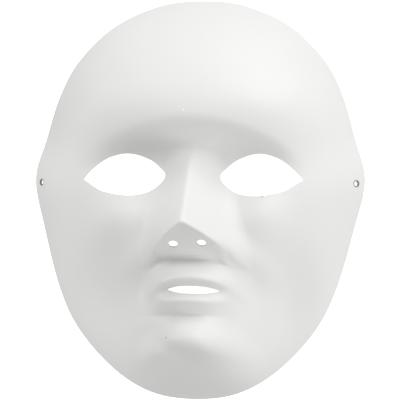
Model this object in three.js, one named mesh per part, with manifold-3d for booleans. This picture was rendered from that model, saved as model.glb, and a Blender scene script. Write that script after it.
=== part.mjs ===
// A blank full-face mask: one thin moulded plastic shell, open at the back, lying face up on its rim.
// Millimetres. +Z comes out of the face, +Y points to the forehead and +X is the viewer's right.
import * as THREE from 'three';
import { mergeVertices } from 'three/addons/utils/BufferGeometryUtils.js';
import Module from 'manifold-3d';

// Driving dimensions: the sheet and its trimmed rim
const WALL = 1.0; // sheet thickness
const HALF_HEIGHT = 110; // middle to crown, and middle to chin
const HALF_WIDTH = 92; // middle to the strap tabs, the widest place
const RIM_EASE = 4; // height over which the wall's inside turns square to the flat rim
const RIM_FADE = 8; // how sharply lips, chin and cheeks fade out just before the rim
const RIM_HALF = [ // right half of the rim, crown to chin, widest at the strap tab
  [0, HALF_HEIGHT], [24.5, 107], [49.5, 95.5], [68.5, 77], [79, 57.5], [86.5, 32.5], [HALF_WIDTH, 10.5],
  [86.5, -16], [77, -49.5], [65.5, -72.5], [45.5, -94], [24, -106.5], [0, -HALF_HEIGHT],
];

const DEGREE = Math.PI / 180;

// The face without its nose and mouth: a dome that rises towards the forehead, with sunk and raised places.
// A place is a mound, whose squareX and squareY above 2 give it a flatter middle and steeper sides,
// and below 2 a sharper middle.
const DOME = {
  cheek: 28.6, forehead: 46.2, from: 4.7, to: 63, fullness: 3.16, chinFullness: 2.64, high: 20,
  low: -80,
};
const BROW = {
  y: 43.2, arch: 0.0047, depth: 13, edge: 18.7, floorEnd: 15.5, fadeEnd: 60.1, halfWidth: 49.3,
  squareX: 5,
};
const GLABELLA = { y: 36.2, halfWidth: 25.3, halfHeight: 12, rise: 2.1 }; // fuller place between the brows
const CHEEK = { x: 41, y: -6.1, halfWidth: 14.1, halfHeight: 18.5, rise: 4.8 };
const JAW = { x: 49, y: -54.9, halfWidth: 21.9, halfHeight: 30.5, depth: 8.5 };
// FOLD is a hollow from each wing of the nose to the corner of the mouth
const FOLD = { x: 29.6, y: -47.7, halfWidth: 8.1, halfHeight: 15.6, depth: 2.7 };
const MUZZLE = { y: -61.1, halfWidth: 19.4, halfHeight: 24.5, squareX: 2.18, squareY: 4, rise: 12.7 };
// LOWER_FACE_SHIFT moves mouth and chin a little to one side
const LOWER_FACE_SHIFT = { x: 2.7, from: -10, to: -38 };

// The nose: a straight ridge, two sloping sides with wings at their foot, and a flat underside
const NOSE = {
  tipY: -18.4, tipZ: 55.7, ridgeSlope: 0.732, ridgeRadius: 1.2, wideHalf: 23.5, wideFoot: 0.28,
  wideY: -29.5, narrowHalf: 9.9, narrowFoot: 0.49, narrowY: 33.4, blend: 5.3, undersideSlope: 1.09,
  edgeBlend: 1.1, creaseY: -35.4, creaseBlend: 1.2, step: 3.4, stepWidth: 3.3, stepLead: 0.5,
};
// CREASE is a groove where the underside meets the lip
const CREASE = { x: -4.3, y: -36, depth: 2.4, halfWidth: 14.6, halfHeight: 1.3, squareX: 6 };
// FLANK is the stretch beside the underside, where the nose rolls over softly
const FLANK = { lean: 2.2, x: 16.3, width: 4.6, drop: 4.4, slope: 0.65, blend: 4.8 };
const WING = { x: 24, y: -30.2, rise: 2.6, halfWidth: 16.5, halfHeight: 6.9, dropAngle: 36.9 * DEGREE };

// Mouth and chin, measured from the shifted middle of the lower face. PHILTRUM is the dip below the nose.
const PHILTRUM = { y: -37, depth: 0.1, halfWidth: 16.4, halfHeight: 3 };
const UPPER_LIP = {
  y: -44.3, bend: 0.0136, rise: 4, halfWidth: 22.5, aboveHeight: 7, belowHeight: 3.8, squareX: 4,
};
const MOUTH_GROOVE = {
  y: -52.8, bend: 0.0013, depth: 4, halfWidth: 16.5, halfHeight: 4.2, squareX: 4, squareY: 3,
};
const LOWER_LIP = { y: -56, rise: 3.2, halfWidth: 18.3, halfHeight: 3.29, squareX: 4 };
const CHIN_GROOVE = {
  x: -2.8, y: -65.2, tilt: -0.003, depth: 5, halfWidth: 21.5, halfHeight: 3.8, squareY: 1.09,
};
const CHIN = {
  y: -63.8, bend: 0.0088, tilt: -0.046, rise: 15.3, lead: 1, top: 23.2, fadeFrom: 18.1, fadeTo: 67.8,
  halfWidth: 26.9, squareX: 3,
};
// A slanting swell of the chin, and a slanting crease below it
const CHIN_BALL = {
  x: -5.1, y: -72.6, halfWidth: 12.1, halfHeight: 6.6, rise: 0.7, dropAngle: 25.5 * DEGREE,
};
const CHIN_CREASE = {
  x: -8.8, y: -85.1, halfWidth: 11.1, halfHeight: 4.1, rise: -1.88, dropAngle: 25.5 * DEGREE,
};

// Openings
const EYE_HALF = [ // one eye, from the outer corner over the top to the inner corner and back below
  [59.5, 9.9], [48.5, 19.4], [36, 23], [24.5, 20], [17.5, 14.6], [15.1, 11], [17.5, 6.3], [25, 1.3],
  [36, -0.3], [49.5, 2.3], [57.5, 7],
];
const EYE_STEPS = 3; // chords from one point of the eye to the next
const MOUTH_SLIT = { x: 3.2, y: -51.4, halfWidth: 14.3, halfHeight: 2.1, tilt: -0.02, steps: 12 };
const NOSTRIL = { spread: 7.6, x: 1.1, y: -26.6, radius: 2.5, length: 12, sides: 16 };
const STRAP_HOLE = { x: 87.5, y: 8.4, radius: 1.8, length: 10, sides: 12 };

// Mesh: knots of the grid over the half-width and half-height, closer over nose and mouth
const COLUMN_STEPS = [[-HALF_WIDTH, 7], [-33, 3.3], [33, 7], [HALF_WIDTH]];
const ROW_STEPS = [
  [-HALF_HEIGHT, 6.5], [-74, 2.6], [-40, 1.3], [-31, 2.8], [-14, 4.2], [50, 7], [HALF_HEIGHT],
];
const RIM_SAMPLES = 576; // points read off the rim curve
const SLOPE_STEP = 0.3; // distance to each side over which a slope is measured
const MERGE = 1e-5; // points closer than this are one

const wasm = await Module();
wasm.setup();

// 0 below -k, v above k, and a parabola between
function ramp(v, k) {
  if (v >= k) return v;
  if (v <= -k) return 0;
  return (v + k) ** 2 / (4 * k);
}

// 0 up to a, 1 from b on, with no kink at either end
function ease(a, b, v) {
  const t = Math.min(Math.max((v - a) / (b - a), 0), 1);
  return t * t * t * (t * (6 * t - 15) + 10);
}

// A mound of height 1 that falls off over its half-width and half-height
function mound(x, y, { halfWidth, halfHeight = 1, squareX = 2, squareY = 2 }) {
  return Math.exp(-(Math.abs(x / halfWidth) ** squareX) - Math.abs(y / halfHeight) ** squareY);
}

// The same mound turned clockwise by its drop angle
function slantingMound(x, y, place) {
  const cos = Math.cos(place.dropAngle);
  const sin = Math.sin(place.dropAngle);
  return mound(x * cos - y * sin, x * sin + y * cos, place);
}

// 1 over the face and 0 at the rim, so that no feature lifts the rim
const rimFade = (reach) => 1 - reach ** RIM_FADE;

function closedCurve(points) {
  const knots = points.map(([x, y]) => new THREE.Vector3(x, y, 0));
  return new THREE.CatmullRomCurve3(knots, true, 'catmullrom', 0.5);
}

// Distance from the middle to the rim in every direction, read off the closed rim curve
const leftHalf = RIM_HALF.slice(1, -1).map(([x, y]) => [-x, y]).reverse();
const rimCurve = closedCurve([...RIM_HALF, ...leftHalf]);
const rimTable = Array.from({ length: RIM_SAMPLES }, (_, i) => rimCurve.getPoint(i / RIM_SAMPLES))
  .map((p) => [Math.atan2(p.y, p.x), Math.hypot(p.x, p.y)])
  .sort((p, q) => p[0] - q[0]);

function rimRadius(angle) {
  let high = rimTable.findIndex(([a]) => a > angle);
  if (high < 0) high = 0;
  const [a1, r1] = rimTable[high];
  const [a0, r0] = rimTable.at(high - 1);
  const turn = 2 * Math.PI;
  const span = (a1 - a0 + turn) % turn;
  const part = (angle - a0 + turn) % turn;
  return r0 + (r1 - r0) * part / span;
}

// The dome, with eye sockets sunk below one continuous brow, cheekbones, hollow jaws and a muzzle
function plainFace(x, y, shifted, reach) {
  const crown = DOME.cheek + (DOME.forehead - DOME.cheek) * ease(DOME.from, DOME.to, y);
  const fullness = DOME.fullness + (DOME.chinFullness - DOME.fullness) * ease(DOME.high, DOME.low, y);
  let z = crown * (1 - reach ** fullness);
  const below = BROW.y - BROW.arch * x * x - y;
  const socket = ease(0, BROW.edge, below) * (1 - ease(BROW.floorEnd, BROW.fadeEnd, below));
  z -= BROW.depth * socket * mound(x, 0, BROW);
  z += GLABELLA.rise * mound(x, y - GLABELLA.y, GLABELLA);
  const inside = rimFade(reach);
  for (const side of [-1, 1]) {
    z += inside * CHEEK.rise * mound(x - side * CHEEK.x, y - CHEEK.y, CHEEK);
    z -= inside * JAW.depth * mound(shifted - side * JAW.x, y - JAW.y, JAW);
    z -= inside * FOLD.depth * mound(shifted - side * FOLD.x, y - FOLD.y, FOLD);
  }
  return z + inside * MUZZLE.rise * mound(shifted, y - MUZZLE.y, MUZZLE);
}

// Raises the nose out of the face, cuts it below by its underside, which steps up steeply out of the crease
// and then slopes up to the tip, and adds the wings
function withNose(face, x, y) {
  const ridge = NOSE.tipZ + NOSE.ridgeSlope * (NOSE.tipY - y);
  const narrowed = ease(NOSE.wideY, NOSE.narrowY, y);
  const half = NOSE.wideHalf + (NOSE.narrowHalf - NOSE.wideHalf) * narrowed;
  const foot = NOSE.wideFoot + (NOSE.narrowFoot - NOSE.wideFoot) * narrowed;
  const across = Math.hypot(x, NOSE.ridgeRadius) - NOSE.ridgeRadius;
  const rise = ramp(ridge - face, NOSE.blend) * ramp(1 - across / half, foot);
  const flank = ease(FLANK.x, FLANK.x + FLANK.width, Math.abs(x + FLANK.lean));
  const above = y - NOSE.creaseY + FLANK.drop * flank;
  const slope = NOSE.undersideSlope + (FLANK.slope - NOSE.undersideSlope) * flank;
  const step = NOSE.step * (1 - flank) * ease(-NOSE.stepLead, NOSE.stepWidth - NOSE.stepLead, above);
  const underside = slope * ramp(above, NOSE.creaseBlend) + step;
  const blend = NOSE.edgeBlend + (FLANK.blend - NOSE.edgeBlend) * flank;
  const edge = blend * rise / (rise + blend);
  const crease = CREASE.depth * mound(x - CREASE.x, y - CREASE.y, CREASE);
  const wing = WING.rise * slantingMound(Math.abs(x) - WING.x, y - WING.y, WING);
  return face + rise - ramp(rise - underside, edge) - crease + wing;
}

// The dip under the nose, the lips, the grooves between and below them, and the chin with its crisp edge
function mouthAndChin(x, y) {
  const overLip = y - UPPER_LIP.y + UPPER_LIP.bend * x * x;
  const halfHeight = overLip > 0 ? UPPER_LIP.aboveHeight : UPPER_LIP.belowHeight;
  let z = UPPER_LIP.rise * mound(x, overLip, { ...UPPER_LIP, halfHeight });
  z -= PHILTRUM.depth * mound(x, y - PHILTRUM.y, PHILTRUM);
  z -= MOUTH_GROOVE.depth * mound(x, y - MOUTH_GROOVE.y + MOUTH_GROOVE.bend * x * x, MOUTH_GROOVE);
  z += LOWER_LIP.rise * mound(x, y - LOWER_LIP.y, LOWER_LIP);
  const overGroove = y - CHIN_GROOVE.y + CHIN_GROOVE.tilt * x;
  z -= CHIN_GROOVE.depth * mound(x - CHIN_GROOVE.x, overGroove, CHIN_GROOVE);
  for (const fold of [CHIN_BALL, CHIN_CREASE]) {
    z += fold.rise * slantingMound(x - fold.x, y - fold.y, fold);
  }
  const below = CHIN.y - CHIN.bend * x * x - CHIN.tilt * x - y;
  const swell = ease(-CHIN.lead, CHIN.top, below) * (1 - ease(CHIN.fadeFrom, CHIN.fadeTo, below));
  return z + CHIN.rise * swell * mound(x, 0, CHIN);
}

// Height of the outer surface over the plane of the rim
function height(x, y) {
  const reach = Math.hypot(x, y) / rimRadius(Math.atan2(y, x));
  const shift = LOWER_FACE_SHIFT.x * (1 - ease(LOWER_FACE_SHIFT.to, LOWER_FACE_SHIFT.from, y));
  const face = plainFace(x, y, x - shift, reach);
  return withNose(face, x - shift, y) + rimFade(reach) * mouthAndChin(x - LOWER_FACE_SHIFT.x, y);
}

function normalAt(x, y) {
  const slopeX = (height(x + SLOPE_STEP, y) - height(x - SLOPE_STEP, y)) / (2 * SLOPE_STEP);
  const slopeY = (height(x, y + SLOPE_STEP) - height(x, y - SLOPE_STEP)) / (2 * SLOPE_STEP);
  return new THREE.Vector3(-slopeX, -slopeY, 1).normalize();
}

// The inner point under an outer one: square to the sheet, but level where the sheet ends at the rim
function innerPoint(outer) {
  const normal = normalAt(outer.x, outer.y);
  const level = 1 - ease(0, RIM_EASE, outer.z);
  const lift = new THREE.Vector3(0, 0, 1).addScaledVector(normal, -normal.z);
  if (level > 0) normal.addScaledVector(lift, -level * normal.z / (1 - normal.z ** 2));
  return outer.clone().addScaledVector(normal, -WALL);
}

// Spreads each stretch [start, wanted step] evenly up to the next stretch's start
function knots(stretches) {
  const list = [];
  for (let i = 0; i + 1 < stretches.length; i += 1) {
    const [start, step] = stretches[i];
    const end = stretches[i + 1][0];
    const count = Math.round((end - start) / step);
    for (let k = 0; k < count; k += 1) list.push(start + (end - start) * k / count);
  }
  return [...list, stretches.at(-1)[0]];
}

// The shell as one closed solid: a square grid bent to the rim, its inner twin, and the flat rim between
function shellGeometry() {
  const across = knots(COLUMN_STEPS).map((x) => x / HALF_WIDTH);
  const up = knots(ROW_STEPS).map((y) => y / HALF_HEIGHT);
  const columns = across.length;
  const rows = up.length;
  const outer = [];
  for (const b of up) {
    for (const a of across) {
      const p = a * Math.sqrt(1 - b * b / 2);
      const q = b * Math.sqrt(1 - a * a / 2);
      const radius = rimRadius(Math.atan2(q, p));
      const onRim = Math.abs(a) === 1 || Math.abs(b) === 1;
      const z = onRim ? 0 : height(p * radius, q * radius);
      outer.push(new THREE.Vector3(p * radius, q * radius, z));
    }
  }
  const inner = outer.map((point) => {
    const below = innerPoint(point);
    if (point.z === 0) below.z = 0;
    return below;
  });
  const index = [];
  const twin = outer.length;
  const addTriangle = (a, b, c) => {
    index.push(a, b, c);
    index.push(a + twin, c + twin, b + twin);
  };
  const sag = (i, j) => {
    const middle = outer[i].clone().lerp(outer[j], 0.5);
    return Math.abs(height(middle.x, middle.y) - middle.z);
  };
  for (let r = 0; r + 1 < rows; r += 1) {
    for (let c = 0; c + 1 < columns; c += 1) {
      const [sw, se] = [r * columns + c, r * columns + c + 1];
      const [nw, ne] = [sw + columns, se + columns];
      const atEdge = r === 0 || c === 0 || r + 2 === rows || c + 2 === columns;
      const rising = atEdge ? (r < rows / 2) === (c < columns / 2) : sag(sw, ne) < sag(se, nw);
      if (rising) {
        addTriangle(sw, se, ne);
        addTriangle(sw, ne, nw);
      } else {
        addTriangle(sw, se, nw);
        addTriangle(se, ne, nw);
      }
    }
  }
  const loop = [];
  for (let c = 0; c + 1 < columns; c += 1) loop.push(c);
  for (let r = 0; r + 1 < rows; r += 1) loop.push((r + 1) * columns - 1);
  for (let c = columns - 1; c > 0; c -= 1) loop.push((rows - 1) * columns + c);
  for (let r = rows - 1; r > 0; r -= 1) loop.push(r * columns);
  loop.forEach((a, i) => {
    const b = loop[(i + 1) % loop.length];
    index.push(a, a + twin, b);
    index.push(b, a + twin, b + twin);
  });
  const geometry = new THREE.BufferGeometry();
  const positions = [...outer, ...inner].flatMap((point) => point.toArray());
  geometry.setAttribute('position', new THREE.Float32BufferAttribute(positions, 3));
  geometry.setIndex(index);
  return geometry;
}

function toSolid(geometry) {
  const bare = geometry.clone();
  bare.deleteAttribute('normal');
  bare.deleteAttribute('uv');
  const merged = mergeVertices(bare, MERGE);
  const vertProperties = new Float32Array(merged.attributes.position.array);
  const triVerts = new Uint32Array(merged.index.array);
  return new wasm.Manifold(new wasm.Mesh({ numProp: 3, vertProperties, triVerts }));
}

function toGeometry(solid) {
  const mesh = solid.getMesh();
  const geometry = new THREE.BufferGeometry();
  geometry.setAttribute('position', new THREE.BufferAttribute(new Float32Array(mesh.vertProperties), 3));
  geometry.setIndex(new THREE.BufferAttribute(new Uint32Array(mesh.triVerts), 1));
  geometry.computeVertexNormals();
  return geometry;
}

// A straight punch along Z for an opening drawn in the plane of the rim
function punch(outline) {
  const shape = new THREE.Shape(outline.map(([x, y]) => new THREE.Vector2(x, y)));
  const depth = NOSE.tipZ + 2 * WALL;
  return new THREE.ExtrudeGeometry(shape, { depth, bevelEnabled: false }).translate(0, 0, -WALL);
}

function eyePunch(side) {
  const outline = closedCurve(EYE_HALF).getPoints(EYE_HALF.length * EYE_STEPS).slice(0, -1);
  return punch(outline.map((p) => [side * p.x, p.y]));
}

// A lens: two shallow arcs that meet in points
function mouthPunch() {
  const { x, y, halfWidth, halfHeight, tilt, steps } = MOUTH_SLIT;
  const outline = [];
  for (let i = 0; i < 2 * steps; i += 1) {
    const along = i < steps ? 1 - 2 * i / steps : 2 * i / steps - 3;
    const offset = (i < steps ? 1 : -1) * halfHeight * (1 - along ** 2);
    outline.push([x + halfWidth * along, y + offset + tilt * halfWidth * along]);
  }
  return punch(outline);
}

// A round punch square to the sheet at a point of the face
function squarePunch(x, y, { radius, length, sides }) {
  const turn = new THREE.Quaternion().setFromUnitVectors(new THREE.Vector3(0, 1, 0), normalAt(x, y));
  return new THREE.CylinderGeometry(radius, radius, length, sides)
    .applyQuaternion(turn)
    .translate(x, y, height(x, y));
}

function maskShell() {
  const punches = [
    eyePunch(-1),
    eyePunch(1),
    mouthPunch(),
    squarePunch(NOSTRIL.x - NOSTRIL.spread, NOSTRIL.y, NOSTRIL),
    squarePunch(NOSTRIL.x + NOSTRIL.spread, NOSTRIL.y, NOSTRIL),
    squarePunch(-STRAP_HOLE.x, STRAP_HOLE.y, STRAP_HOLE),
    squarePunch(STRAP_HOLE.x, STRAP_HOLE.y, STRAP_HOLE),
  ];
  const solid = punches.reduce((rest, cutter) => rest.subtract(toSolid(cutter)), toSolid(shellGeometry()));
  const plastic = new THREE.MeshStandardMaterial({ color: 0xf1f1ef, roughness: 0.5, metalness: 0 });
  const mesh = new THREE.Mesh(toGeometry(solid), plastic);
  mesh.name = 'mask_shell';
  return mesh;
}

const mask = new THREE.Group();
mask.add(maskShell());

export default mask;
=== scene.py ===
# A blank full face mask: one thin sheet of white plastic, moulded into a face and lying on its rim.
import math

import bpy
import numpy as np
from mathutils import Matrix
from mathutils.geometry import delaunay_2d_cdt


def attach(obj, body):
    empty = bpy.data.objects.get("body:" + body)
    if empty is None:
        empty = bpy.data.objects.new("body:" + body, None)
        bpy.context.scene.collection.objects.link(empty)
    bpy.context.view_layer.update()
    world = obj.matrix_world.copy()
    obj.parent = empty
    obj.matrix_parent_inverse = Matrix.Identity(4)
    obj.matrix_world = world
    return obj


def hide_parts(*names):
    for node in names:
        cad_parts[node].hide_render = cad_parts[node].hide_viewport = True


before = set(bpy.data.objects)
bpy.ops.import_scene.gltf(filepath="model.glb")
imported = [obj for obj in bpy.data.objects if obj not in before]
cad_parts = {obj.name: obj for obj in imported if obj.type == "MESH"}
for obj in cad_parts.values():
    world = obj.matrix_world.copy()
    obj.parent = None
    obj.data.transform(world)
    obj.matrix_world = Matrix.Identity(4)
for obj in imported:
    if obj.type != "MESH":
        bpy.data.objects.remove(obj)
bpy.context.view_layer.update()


# The view of the photograph: from a little to the right of the face and a little from its chin side.
# Lengths are in metres. The picture's middle lies a millimetre off the middle of the mask.
YAW, PITCH, ROLL = math.radians(9.5), math.radians(4.5), math.radians(-1.1)
DISTANCE = 1.3
PICTURE_WIDTH = 0.220
AIM_RIGHT, AIM_UP = 0.00094, -0.00066
SENSOR_WIDTH = 36

camera_data = bpy.data.cameras.new("photo_view")
camera_data.sensor_width = SENSOR_WIDTH
camera_data.lens = SENSOR_WIDTH * DISTANCE / PICTURE_WIDTH
camera_data.clip_end = 20
camera = bpy.data.objects.new("photo_view", camera_data)
bpy.context.collection.objects.link(camera)
back = np.array([math.sin(YAW) * math.cos(PITCH), -math.sin(PITCH), math.cos(YAW) * math.cos(PITCH)])
level_right = np.array([math.cos(YAW), 0, -math.sin(YAW)])
level_up = np.cross(back, level_right)
right = level_right * math.cos(ROLL) - level_up * math.sin(ROLL)
up = level_up * math.cos(ROLL) + level_right * math.sin(ROLL)
stand = back * DISTANCE + right * AIM_RIGHT + up * AIM_UP
camera_rows = np.column_stack([right, up, back, stand])
camera.matrix_world = Matrix([*camera_rows.tolist(), [0, 0, 0, 1]])
bpy.context.scene.camera = camera


# Moulded shell: the whole mask, one sheet of plastic 1 mm thick with seven cut openings.
# The face is a height over the rim plane, worked out in millimetres for whole arrays of points.
# The plan is a mesh of even triangles fitted to the openings, used for the outside and the inside.
WALL = 1.0
RIM_HALF = [(0, 110), (24.5, 107), (49.5, 95.5), (68.5, 77), (79, 57.5), (86.5, 32.5), (92, 10.5),
            (86.5, -16), (77, -49.5), (65.5, -72.5), (45.5, -94), (24, -106.5), (0, -110)]


def closed_curve(points, per_span=24):
    """Points on the closed Catmull-Rom curve through the points, per_span to a span.

    With p0..p3 around a span and t from 0 to 1, the curve is
    (2 p1 + (p2 - p0) t + (2 p0 - 5 p1 + 4 p2 - p3) t^2 + (3 p1 - p0 - 3 p2 + p3) t^3) / 2.
    """
    points = np.asarray(points, float)
    p0, p1, p2, p3 = (np.roll(points, k, axis=0)[:, None, :] for k in (1, 0, -1, -2))
    t = (np.arange(per_span) / per_span)[None, :, None]
    bent = (2 * p0 - 5 * p1 + 4 * p2 - p3) * t ** 2 + (3 * p1 - p0 - 3 * p2 + p3) * t ** 3
    return (2 * p1 + (p2 - p0) * t + bent).reshape(-1, 2) / 2


rim = closed_curve(RIM_HALF + [(-x, y) for x, y in RIM_HALF[-2:0:-1]])
rim_angle = np.arctan2(rim[:, 1], rim[:, 0])
rim = rim[np.argsort(rim_angle)]
rim_angle = np.sort(rim_angle)
rim_length = np.hypot(rim[:, 0], rim[:, 1])


def reach_of(x, y):
    """How far out a point lies: 0 in the middle, 1 on the rim."""
    return np.hypot(x, y) / np.interp(np.arctan2(y, x), rim_angle, rim_length, period=2 * math.pi)


def ramp(v, k):
    """0 below -k, v above k, and the parabola (v + k)^2 / 4k that joins them in between."""
    return np.where(v > k, v, np.clip(v + k, 0, 2 * k) ** 2 / (4 * k))


def ease(a, b, v):
    """A smooth step from 0 at a to 1 at b: t^3 (6 t^2 - 15 t + 10)."""
    t = np.clip((v - a) / (b - a), 0, 1)
    return t ** 3 * (t * (6 * t - 15) + 10)


def mound(x, y, place):
    """A mound of height 1: exp(-|x / half_width|^square_x - |y / half_height|^square_y)."""
    part_x = np.abs(x / place["half_width"]) ** place.get("square_x", 2)
    part_y = np.abs(y / place.get("half_height", 1)) ** place.get("square_y", 2)
    return np.exp(-part_x - part_y)


def slanting_mound(x, y, place):
    """The same mound turned clockwise by its drop_angle a.

    x cos a - y sin a runs along it, and x sin a + y cos a up it.
    """
    cos, sin = math.cos(place["drop_angle"]), math.sin(place["drop_angle"])
    return mound(x * cos - y * sin, x * sin + y * cos, place)


# The face without its nose and mouth: a dome that rises towards the forehead, eye sockets sunk below
# one brow, a fuller place between the brows, cheekbones, hollow jaws, a hollow beside each wing, and a
# muzzle. The lower face sits a little to the right, and the forms near the rim fade out at it.
DOME = dict(cheek=28.6, forehead=46.2, start=4.7, end=63, fullness=3.16, chin_fullness=2.64, high=20,
            low=-80)
BROW = dict(y=43.2, arch=0.0047, depth=13, edge=18.7, floor_end=15.5, fade_end=60.1, half_width=49.3,
            square_x=5)
GLABELLA = dict(y=36.2, half_width=25.3, half_height=12, rise=2.1)
CHEEK = dict(x=41, y=-6.1, half_width=14.1, half_height=18.5, rise=4.8)
JAW = dict(x=49, y=-54.9, half_width=21.9, half_height=30.5, depth=8.5)
FOLD = dict(x=29.6, y=-47.7, half_width=8.1, half_height=15.6, depth=2.7)
MUZZLE = dict(y=-61.1, half_width=19.4, half_height=24.5, square_x=2.18, square_y=4, rise=12.7)
LOWER_FACE_SHIFT = dict(x=2.7, start=-10, end=-38)
RIM_FADE = 8

# The nose: a ridge line with a bell section, cut off below by its underside. The underside steps up
# out of the crease. Beside it the flanks roll over softly, and there is a wing at each side.
NOSE = dict(tip_y=-18.4, tip_z=55.7, ridge_slope=0.732, ridge_radius=1.2, wide_half=23.5,
            wide_foot=0.28, wide_y=-29.5, narrow_half=9.9, narrow_foot=0.49, narrow_y=33.4, blend=5.3,
            underside_slope=1.22, edge_blend=1.1, crease_y=-35.4, crease_blend=1.2, step=2.6,
            step_width=3.3, step_lead=0.5)
CREASE = dict(x=-3.2, y=-36, depth=2.9, half_width=11, half_height=2.2, square_x=3)
FLANK = dict(lean=2.2, x=14.5, width=9, drop=4.4, slope=0.65, blend=5)
WING = dict(x=24, y=-30.2, rise=2.6, half_width=16.5, half_height=6.9, drop_angle=math.radians(36.9))

# Mouth and chin, measured from the shifted middle of the lower face.
PHILTRUM = dict(y=-37, depth=0.1, half_width=16.4, half_height=3)
UPPER_LIP = dict(y=-44.3, bend=0.0136, rise=4.3, half_width=22.5, above_height=7, below_height=3.8,
                 square_x=4)
MOUTH_GROOVE = dict(y=-52.8, bend=0.0013, depth=4, half_width=16.5, half_height=4.2, square_x=4,
                    square_y=3)
LOWER_LIP = dict(y=-56, rise=3.2, half_width=18.3, half_height=3.29, square_x=4)
CHIN_GROOVE = dict(x=-2.8, y=-65.2, tilt=-0.003, depth=5.2, half_width=15, half_height=3.8,
                   square_y=1.3)
CHIN = dict(y=-63.8, bend=0.0088, tilt=-0.046, rise=15.3, lead=1, top=23.2, fade_from=18.1,
            fade_to=67.8, half_width=26.9, square_x=3)
CHIN_BALL = dict(x=-5.1, y=-72.6, half_width=12.1, half_height=6.6, rise=0.7,
                 drop_angle=math.radians(25.5))
CHIN_CREASE = dict(x=-8.8, y=-85.1, half_width=11.1, half_height=4.1, rise=-1.88,
                   drop_angle=math.radians(25.5))


def plain_face(x, y, shifted, inside, reach):
    """The dome, less the sockets and hollows, plus the cheekbones and the muzzle.

    The dome is crown (1 - reach^fullness). Below the brow line a socket eases down over its edge and
    fades back out over its floor. inside is 1 in the middle and 0 on the rim.
    """
    crown = DOME["cheek"] + (DOME["forehead"] - DOME["cheek"]) * ease(DOME["start"], DOME["end"], y)
    raised = ease(DOME["low"], DOME["high"], y)
    fullness = DOME["chin_fullness"] + (DOME["fullness"] - DOME["chin_fullness"]) * raised
    z = crown * (1 - reach ** fullness)
    below = BROW["y"] - BROW["arch"] * x ** 2 - y
    socket = ease(0, BROW["edge"], below) * (1 - ease(BROW["floor_end"], BROW["fade_end"], below))
    z = z - BROW["depth"] * socket * mound(x, 0, BROW)
    z = z + GLABELLA["rise"] * mound(x, y - GLABELLA["y"], GLABELLA)
    for side in (-1, 1):
        z = z + inside * CHEEK["rise"] * mound(x - side * CHEEK["x"], y - CHEEK["y"], CHEEK)
        z = z - inside * JAW["depth"] * mound(shifted - side * JAW["x"], y - JAW["y"], JAW)
        z = z - inside * FOLD["depth"] * mound(shifted - side * FOLD["x"], y - FOLD["y"], FOLD)
    return z + inside * MUZZLE["rise"] * mound(shifted, y - MUZZLE["y"], MUZZLE)


def with_nose(face, x, y):
    """The face plus the nose's rise, cut by a plane that climbs from the crease, plus the wings.

    The rise is (ridge - face) (1 - across / half), both rounded off at 0. The underside is its slope
    times the way above the crease, plus a step that ends at the flanks. The cut takes the smaller of
    the rise and the underside, with the corner between them rounded over edge_blend.
    """
    ridge = NOSE["tip_z"] + NOSE["ridge_slope"] * (NOSE["tip_y"] - y)
    narrowed = ease(NOSE["wide_y"], NOSE["narrow_y"], y)
    half = NOSE["wide_half"] + (NOSE["narrow_half"] - NOSE["wide_half"]) * narrowed
    foot = NOSE["wide_foot"] + (NOSE["narrow_foot"] - NOSE["wide_foot"]) * narrowed
    across = np.hypot(x, NOSE["ridge_radius"]) - NOSE["ridge_radius"]
    rise = ramp(ridge - face, NOSE["blend"]) * ramp(1 - across / half, foot)
    flank = ease(FLANK["x"], FLANK["x"] + FLANK["width"], np.abs(x + FLANK["lean"]))
    above = y - NOSE["crease_y"] + FLANK["drop"] * flank
    slope = NOSE["underside_slope"] + (FLANK["slope"] - NOSE["underside_slope"]) * flank
    stepped = ease(-NOSE["step_lead"], NOSE["step_width"] - NOSE["step_lead"], above)
    underside = slope * ramp(above, NOSE["crease_blend"]) + NOSE["step"] * (1 - flank) * stepped
    blend = NOSE["edge_blend"] + (FLANK["blend"] - NOSE["edge_blend"]) * flank
    edge = blend * rise / (rise + blend) + 1e-9
    crease = CREASE["depth"] * mound(x - CREASE["x"], y - CREASE["y"], CREASE)
    wing = WING["rise"] * slanting_mound(np.abs(x) - WING["x"], y - WING["y"], WING)
    return face + rise - ramp(rise - underside, edge) - crease + wing


def mouth_and_chin(x, y):
    """The sum of the dip under the nose, the lips, the grooves, and the chin that steps out below them.

    Each is its height times a mound on a line that bends down by bend x^2 or climbs by tilt x.
    """
    over_lip = y - UPPER_LIP["y"] + UPPER_LIP["bend"] * x ** 2
    lip_half = np.where(over_lip > 0, UPPER_LIP["above_height"], UPPER_LIP["below_height"])
    z = UPPER_LIP["rise"] * mound(x, over_lip, {**UPPER_LIP, "half_height": lip_half})
    z = z - PHILTRUM["depth"] * mound(x, y - PHILTRUM["y"], PHILTRUM)
    over_groove = y - MOUTH_GROOVE["y"] + MOUTH_GROOVE["bend"] * x ** 2
    z = z - MOUTH_GROOVE["depth"] * mound(x, over_groove, MOUTH_GROOVE)
    z = z + LOWER_LIP["rise"] * mound(x, y - LOWER_LIP["y"], LOWER_LIP)
    over_groove = y - CHIN_GROOVE["y"] + CHIN_GROOVE["tilt"] * x
    z = z - CHIN_GROOVE["depth"] * mound(x - CHIN_GROOVE["x"], over_groove, CHIN_GROOVE)
    for fold in (CHIN_BALL, CHIN_CREASE):
        z = z + fold["rise"] * slanting_mound(x - fold["x"], y - fold["y"], fold)
    below = CHIN["y"] - CHIN["bend"] * x ** 2 - CHIN["tilt"] * x - y
    faded = ease(CHIN["fade_from"], CHIN["fade_to"], below)
    swell = ease(-CHIN["lead"], CHIN["top"], below) * (1 - faded)
    return z + CHIN["rise"] * swell * mound(x, 0, CHIN)


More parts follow.
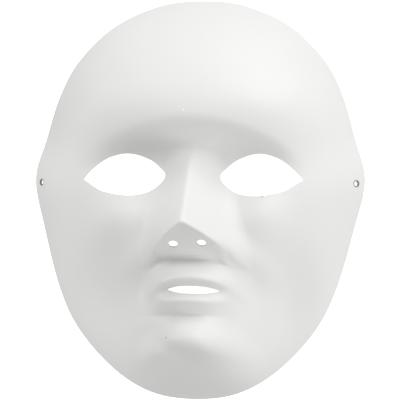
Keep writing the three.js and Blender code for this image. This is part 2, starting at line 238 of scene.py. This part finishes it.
def face_height(x, y):
    """Height of the outside over the rim plane: plain face and nose, plus mouth and chin."""
    reach = reach_of(x, y)
    inside = 1 - np.minimum(reach, 1) ** RIM_FADE
    shift = LOWER_FACE_SHIFT["x"] * (1 - ease(LOWER_FACE_SHIFT["end"], LOWER_FACE_SHIFT["start"], y))
    face = plain_face(x, y, x - shift, inside, reach)
    return with_nose(face, x - shift, y) + inside * mouth_and_chin(x - LOWER_FACE_SHIFT["x"], y)


# The sheet's thickness. Eyes and mouth were trimmed straight down by a die. The nostrils and the strap
# holes were punched square to the sheet, and the rim lies flat.
SLOPE_REACH = 0.3
FLAT_RIM_HEIGHT = 4
TRIMMED_DOWN_TO, SQUARE_FROM = 0.82, 0.93
NOSTRIL = dict(spread=7.7, x=1.4, y=-27.3, tilt=0.04, radius=2.5)
ROUND_NOSTRILS = dict(half_width=16, half_height=8, square_x=6, square_y=6)


def slope_normal(x, y):
    """The outside's unit normal, (-dz/dx, -dz/dy, 1) over its length, with slopes over a short way."""
    run = 2 * SLOPE_REACH
    slope_x = (face_height(x + SLOPE_REACH, y) - face_height(x - SLOPE_REACH, y)) / run
    slope_y = (face_height(x, y + SLOPE_REACH) - face_height(x, y - SLOPE_REACH)) / run
    normal = np.stack([-slope_x, -slope_y, np.ones_like(x)], -1)
    return normal / np.linalg.norm(normal, axis=-1, keepdims=True)


def inside_of(x, y):
    """The inside's point that belongs to (x, y), one wall thickness off the outside.

    The step is along the normal n on the face. Over the last few millimetres of height it turns level,
    by n - level n_z / (1 - n_z^2) (z - n_z n), so that the sheet ends in a flat ring at height 0.
    """
    z = face_height(x, y)
    n = slope_normal(x, y)
    level = 1 - ease(0, FLAT_RIM_HEIGHT, z)[:, None]
    n_z = n[:, 2:]
    step = n - level * n_z / (1 - n_z ** 2 + 1e-9) * (np.array([0, 0, 1]) - n_z * n)
    return np.stack([x, y, z], -1) - WALL * step


def sheet_points(plan, depth):
    """Points of the sheet at the plan points (x, y): depth 0 is the outside and depth 1 the inside.

    Where the sheet is trimmed straight down, the inside's point is the one straight below. It is found
    by moving the plan point x' = x + (x' - inside(x')) three times. Elsewhere it is the point square
    to the sheet.
    """
    x, y = plan.T
    at_nostrils = mound(x - NOSTRIL["x"], y - NOSTRIL["y"], ROUND_NOSTRILS)
    upright = (1 - ease(TRIMMED_DOWN_TO, SQUARE_FROM, reach_of(x, y))) * (1 - at_nostrils)
    moved = plan
    for _ in range(3):
        below = inside_of(*moved.T)[:, :2]
        moved = plan + upright[:, None] * (moved - below)
    outside = np.stack([x, y, face_height(x, y)], -1)
    return (1 - depth) * outside + depth * inside_of(*moved.T)


# The openings and the rim, as loops in plan. Every cut edge is rounded off a little.
EYE_HALF = [(59.5, 9.9), (48.5, 19.4), (36, 23), (24.5, 20), (17.5, 14.6), (15.1, 11), (17.5, 6.3),
            (25, 1.3), (36, -0.3), (49.5, 2.3), (57.5, 7)]
MOUTH_SLIT = dict(x=3.2, y=-51.5, half_width=14.2, half_height=2.0, fullness=2.7, drop=0.02)
STRAP_HOLES = [(87.5, 8.4), (-87.5, 8.4)]
STRAP_HOLE_RADIUS = 1.3
NOSTRILS = [(NOSTRIL["x"] + out, NOSTRIL["y"] + NOSTRIL["tilt"] * out)
            for out in (-NOSTRIL["spread"], NOSTRIL["spread"])]
ROUND = 0.2
EYE_STEP, MOUTH_STEP, RIM_STEP = 0.8, 0.6, 1.3


def even_loop(points, step):
    """The closed loop through the points again, with its points about one step apart."""
    closed = np.vstack([points, points[:1]])
    run = np.concatenate([[0], np.cumsum(np.linalg.norm(np.diff(closed, axis=0), axis=1))])
    at = np.linspace(0, run[-1], round(run[-1] / step), endpoint=False)
    return np.stack([np.interp(at, run, closed[:, 0]), np.interp(at, run, closed[:, 1])], 1)


def lens_loop(slit, half_points=40):
    """A slit with pointed ends: its edges are half_height (1 - |t|^fullness) over and under a line."""
    along = np.linspace(1, -1, half_points, endpoint=False)
    bow = 1 - np.abs(along) ** slit["fullness"]
    x = np.append(along, -along) * slit["half_width"]
    y = slit["y"] + np.append(bow, -bow) * slit["half_height"] - slit["drop"] * x
    return np.stack([slit["x"] + x, y], 1)


def square_circle(x, y, radius, sides=30):
    """A circle of this radius lying square on the face at (x, y), seen in plan."""
    n = slope_normal(np.array([x]), np.array([y]))[0]
    first = np.cross([0, 1, 0], n)
    first = first / np.linalg.norm(first)
    second = np.cross(n, first)
    turn = np.linspace(0, 2 * math.pi, sides, endpoint=False)[:, None]
    return np.array([x, y]) + radius * (np.cos(turn) * first + np.sin(turn) * second)[:, :2]


right_eye = closed_curve(EYE_HALF)
left_eye = right_eye[::-1] * [-1, 1]
openings = [even_loop(right_eye, EYE_STEP), even_loop(left_eye, EYE_STEP),
            even_loop(lens_loop(MOUTH_SLIT), MOUTH_STEP),
            *(square_circle(x, y, NOSTRIL["radius"]) for x, y in NOSTRILS),
            *(square_circle(x, y, STRAP_HOLE_RADIUS) for x, y in STRAP_HOLES)]
edges = [(loop, 1) for loop in openings] + [(even_loop(rim, RIM_STEP), -1)]


# The plan's points: a lattice of staggered rows, closest at the nose and mouth, and two rows of points
# along each edge. The first is where the rounding starts. The lattice keeps clear of the second.
LATTICE_REACH = 0.988
SECOND_ROW = 0.35
HOLE_CLEAR, RIM_CLEAR = 0.45, 0.7
NEARBY = 2


def grown(loop, amount):
    """The loop, which runs counter-clockwise, moved outwards by an amount."""
    along = np.roll(loop, -1, axis=0) - np.roll(loop, 1, axis=0)
    out = np.stack([along[:, 1], -along[:, 0]], 1)
    return loop + amount * out / np.linalg.norm(out, axis=1, keepdims=True)


def inside_loop(points, loop):
    """Which points lie inside a closed loop, by counting its crossings to the right of each."""
    (x0, y0), (x1, y1) = loop.T, np.roll(loop, -1, axis=0).T
    px, py = points[:, :1], points[:, 1:]
    spans = (y0 > py) != (y1 > py)
    cross = x0 + (py - y0) * (x1 - x0) / np.where(y1 == y0, 1, y1 - y0)
    return (spans & (px < cross)).sum(1) % 2 == 1


def spaced_out(half, fine, coarse, middle, grow_from, grow_to):
    """Coordinates from -half to half, whose spacing eases from fine near the middle to coarse."""
    at = np.linspace(-half, half, 4001)
    spacing = fine + (coarse - fine) * ease(grow_from, grow_to, np.abs(at - middle))
    count = np.concatenate([[0], np.cumsum((at[1:] - at[:-1]) / spacing[1:])])
    return np.interp(np.arange(0, count[-1], 1), count, at)


columns = spaced_out(92, fine=0.75, coarse=1.5, middle=2, grow_from=26, grow_to=50)
rows = spaced_out(110, fine=0.7, coarse=1.35, middle=-32, grow_from=36, grow_to=62)
lattice_x, lattice_y = np.meshgrid(columns, rows)
stagger = np.where(np.arange(len(rows)) % 2, 0.5, 0)
lattice_x = lattice_x + stagger[:, None] * np.gradient(columns)[None, :]
lattice = np.stack([lattice_x.ravel(), lattice_y.ravel()], 1)
lattice = lattice[reach_of(*lattice.T) < LATTICE_REACH]

plan_parts, plan_edges, starts = [], [], []
total = 0
for loop, out in edges:
    first_row = grown(loop, out * ROUND)
    second_row = grown(loop, out * (ROUND + SECOND_ROW))
    start = np.arange(len(loop)) + total
    starts.append(start)
    plan_edges += np.stack([start, np.roll(start, -1)], 1).tolist()
    plan_parts += [first_row, second_row]
    total += 2 * len(loop)
    near = np.ones(len(lattice), bool)
    if out > 0:
        low, high = second_row.min(0) - NEARBY, second_row.max(0) + NEARBY
        near = np.all((lattice > low) & (lattice < high), 1)
    gap = np.full(len(lattice), np.inf)
    some = lattice[near].astype(np.float32)
    gap[near] = np.sqrt(((some[:, None] - second_row[None].astype(np.float32)) ** 2).sum(-1).min(1))
    keep = gap > (HOLE_CLEAR if out > 0 else RIM_CLEAR)
    if out > 0:
        keep[near] &= ~inside_loop(lattice[near], second_row)
    lattice = lattice[keep]

# The plan's triangles: all those between the points, less the ones that lie in an opening or past the
# rim, with every corner order turned counter-clockwise so that they face up.
plan = np.vstack(plan_parts + [lattice])
made = delaunay_2d_cdt(plan.tolist(), plan_edges, [], 0, 1e-6, False)
assert len(made[0]) == len(plan)
triangles = np.array(made[2])
middles = plan[triangles].mean(1)
keep = inside_loop(middles, plan[starts[-1]])
for start in starts[:-1]:
    keep &= ~inside_loop(middles, plan[start])
triangles = triangles[keep]
a, b, c = plan[triangles].transpose(1, 0, 2)
clockwise = (b - a)[:, 0] * (c - a)[:, 1] - (b - a)[:, 1] * (c - a)[:, 0] < 0
triangles[clockwise] = triangles[clockwise][:, ::-1]

# Outside, inside and cut edges. An edge is carried from the outside to the inside along a profile of
# (away from the loop, depth in the sheet): a quarter round in three steps, and its mirror image. Its
# faces look into the opening, or out past the rim.
bend = np.radians([30, 60, 90])
profile = np.stack([ROUND * (1 - np.sin(bend)), ROUND * (1 - np.cos(bend))], 1)
profile = np.vstack([profile, np.stack([profile[::-1, 0], WALL - profile[::-1, 1]], 1)])
places = [plan, plan]
depths = [np.zeros(len(plan)), np.ones(len(plan))]
faces = triangles.tolist() + (triangles[:, ::-1] + len(plan)).tolist()
total = 2 * len(plan)
for (loop, out), start in zip(edges, starts):
    steps = [start]
    for away, deep in profile:
        places.append(grown(loop, out * away))
        depths.append(np.full(len(loop), deep / WALL))
        steps.append(np.arange(len(loop)) + total)
        total += len(loop)
    steps.append(start + len(plan))
    for last, step in zip(steps, steps[1:]):
        strip = np.stack([last, step, np.roll(step, -1), np.roll(last, -1)], 1)
        faces += (strip[:, ::-1] if out > 0 else strip).tolist()
points = sheet_points(np.vstack(places), np.concatenate(depths)[:, None])
shell_mesh = bpy.data.meshes.new("moulded_shell")
shell_mesh.from_pydata((points / 1000).tolist(), [], faces)
shell_mesh.polygons.foreach_set("use_smooth", np.ones(len(faces), bool))
shell = bpy.data.objects.new("moulded_shell", shell_mesh)
bpy.context.collection.objects.link(shell)


def linear(code):
    """A hex colour as linear light: c / 12.92 up to 0.04045 and ((c + 0.055) / 1.055)^2.4 above it."""
    parts = [int(code[k:k + 2], 16) / 255 for k in (1, 3, 5)]
    return [c / 12.92 if c <= 0.04045 else ((c + 0.055) / 1.055) ** 2.4 for c in parts] + [1]


def add(material, kind, sockets, settings=()):
    """A new node of a kind, whose sockets are each linked to another node's output or set to a value.

    In a Mix node, sockets 0, 6 and 7 are the factor and two colours, and output 2 is the mix.
    """
    node = material.node_tree.nodes.new(kind)
    for name, value in dict(settings).items():
        setattr(node, name, value)
    for name, value in sockets.items():
        if isinstance(value, bpy.types.NodeSocket):
            material.node_tree.links.new(value, node.inputs[name])
        else:
            node.inputs[name].default_value = value
    return node


# Spots on the plastic, as (x, y, radius, colour) in millimetres: specks of dust and dirt on the
# forehead, on the chin and under the right eye, and painted shade: grey rings round the small holes.
SPECKS_AND_PAINTED_SHADE = [(-2, 44.4, 0.6, "#FFFFFF"), (-11.2, -77.1, 0.6, "#9A9A98"), (3.2, 50.6, 0.4, "#F4F4F4"),
         (39, -0.8, 0.7, "#C8C8C6"),
         # Painted shade: a dark grey ring round each strap hole and a paler one round each nostril.
         *((x, y, 2.3, "#585856") for x, y in STRAP_HOLES),
         *((x, y, 2.75, "#B4B4B2") for x, y in NOSTRILS)]
SPOT_CORE = 0.6


def moulded_polystyrene():
    """White high-impact polystyrene sheet, softened by heat and drawn over a mould by vacuum.

    It is opaque, faintly warm and satin, not glossy. The mould leaves slow waves about 14 mm long and
    cooler and warmer patches of about 35 mm that differ in gloss. The sheet's own grain, about 0.1 mm,
    is too fine to show, so it is drawn at 0.9 mm. A few specks of dust and dirt were pressed in. The
    grey rings round the strap holes and nostrils are painted shade, standing for the shade in their
    punched edges. Each spot takes all that lies within its radius in space, and fades out past its
    core.
    """
    patch_size, wave_size, grain_size = 0.035, 0.014, 0.0009
    wave_height, grain_height = 0.00008, 0.000012
    material = bpy.data.materials.new("white_moulded_polystyrene")
    material.use_nodes = True
    surface = material.node_tree.nodes["Principled BSDF"]
    place = add(material, "ShaderNodeTexCoord", {}).outputs["Object"]
    patches, waves, grain = (
        add(material, "ShaderNodeTexNoise", {"Vector": place, "Scale": 1 / size, "Detail": detail})
        for size, detail in ((patch_size, 3), (wave_size, 1), (grain_size, 2)))
    colour = add(material, "ShaderNodeMix", {0: patches.outputs["Fac"], 6: linear("#E6E6E4"),
                                             7: linear("#E9E9E8")}, {"data_type": "RGBA"}).outputs[2]
    # Dust specks and the painted shade round the small holes, each mixed over the colour.
    for x, y, radius, code in SPECKS_AND_PAINTED_SHADE:
        height = float(face_height(np.array([x]), np.array([y]))[0])
        centre = (x / 1000, y / 1000, height / 1000)
        away = add(material, "ShaderNodeVectorMath", {0: place, 1: centre}, {"operation": "DISTANCE"})
        cover = add(material, "ShaderNodeMapRange",
                    {"Value": away.outputs["Value"], "From Min": SPOT_CORE * radius / 1000,
                     "From Max": radius / 1000, "To Min": 1, "To Max": 0})
        colour = add(material, "ShaderNodeMix", {0: cover.outputs[0], 6: colour, 7: linear(code)},
                     {"data_type": "RGBA"}).outputs[2]
    gloss = add(material, "ShaderNodeMapRange", {"Value": patches.outputs["Fac"], "From Min": 0.3,
                                                 "From Max": 0.7, "To Min": 0.46, "To Max": 0.54})
    wavy = add(material, "ShaderNodeBump", {"Height": waves.outputs["Fac"], "Distance": wave_height})
    grained = add(material, "ShaderNodeBump", {"Height": grain.outputs["Fac"], "Distance": grain_height,
                                               "Normal": wavy.outputs[0]})
    links = material.node_tree.links
    links.new(colour, surface.inputs["Base Color"])
    links.new(gloss.outputs[0], surface.inputs["Roughness"])
    links.new(grained.outputs[0], surface.inputs["Normal"])
    surface.inputs["IOR"].default_value = 1.5
    return material


shell_mesh.materials.append(moulded_polystyrene())
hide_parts("mask_shell")
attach(shell, "root")


# Floor: a plain pale surface that the mask lies on, lit white from within. It throws no light back on
# the mask, whose lower sides are dark in the photograph.
FLOOR_HALF = 3
floor_corners = [(x * FLOOR_HALF, y * FLOOR_HALF, 0) for x, y in ((-1, -1), (1, -1), (1, 1), (-1, 1))]
floor_mesh = bpy.data.meshes.new("floor")
floor_mesh.from_pydata(floor_corners, [], [(0, 1, 2, 3)])
floor = bpy.data.objects.new("floor", floor_mesh)
floor.visible_diffuse = False
floor.visible_glossy = False
bpy.context.collection.objects.link(floor)


def card():
    """Matt white card with 3 mm mottling, lit from within so that it stays white round the mask."""
    mottle_size = 0.003
    material = bpy.data.materials.new("matt_white_card")
    material.use_nodes = True
    surface = material.node_tree.nodes["Principled BSDF"]
    place = add(material, "ShaderNodeTexCoord", {}).outputs["Object"]
    mottle = add(material, "ShaderNodeTexNoise", {"Vector": place, "Scale": 1 / mottle_size})
    colour = add(material, "ShaderNodeMix", {0: mottle.outputs["Fac"], 6: linear("#F2F2F2"),
                                             7: linear("#F6F6F6")}, {"data_type": "RGBA"})
    material.node_tree.links.new(colour.outputs[2], surface.inputs["Base Color"])
    surface.inputs["Roughness"].default_value = 0.8
    surface.inputs["Emission Color"].default_value = (1, 1, 1, 1)
    surface.inputs["Emission Strength"].default_value = 0.98
    return material


floor_mesh.materials.append(card())


# Light: a ring of soft lights, strongest low on the left and over the right of the crown, in an even
# room. Lengths are in metres.
LIGHT_SIZE = 1.0
LIGHT_DISTANCE = 1.5


def soft_light(name, direction, power):
    """A square area light of this power in watts, at the light distance and facing the mask."""
    data = bpy.data.lights.new(name, "AREA")
    data.shape, data.size, data.energy = "SQUARE", LIGHT_SIZE, power
    light = bpy.data.objects.new(name, data)
    toward = np.array(direction) / np.linalg.norm(direction)
    side = np.cross([0, 1, 0], toward)
    side = side / np.linalg.norm(side)
    rows = np.column_stack([side, np.cross(toward, side), toward, LIGHT_DISTANCE * toward])
    light.matrix_world = Matrix([*rows.tolist(), [0, 0, 0, 1]])
    bpy.context.collection.objects.link(light)


soft_light("key", (0.38, 0.45, 0.81), 6.9)
soft_light("over_right", (0.45, 0.8, 0.5), 7.8)
soft_light("behind_crown", (0, 1, 0.15), 4.1)
soft_light("low_left", (-1, 0, 0.12), 10.8)
soft_light("below_right", (0.6, -0.7, 0.4), 6.8)
room = bpy.data.worlds.new("room")
bpy.context.scene.world = room
room.use_nodes = True
room.node_tree.nodes["Background"].inputs["Color"].default_value = (1, 1, 1, 1)
room.node_tree.nodes["Background"].inputs["Strength"].default_value = 0.405
bpy.context.scene.view_settings.view_transform = "Standard"
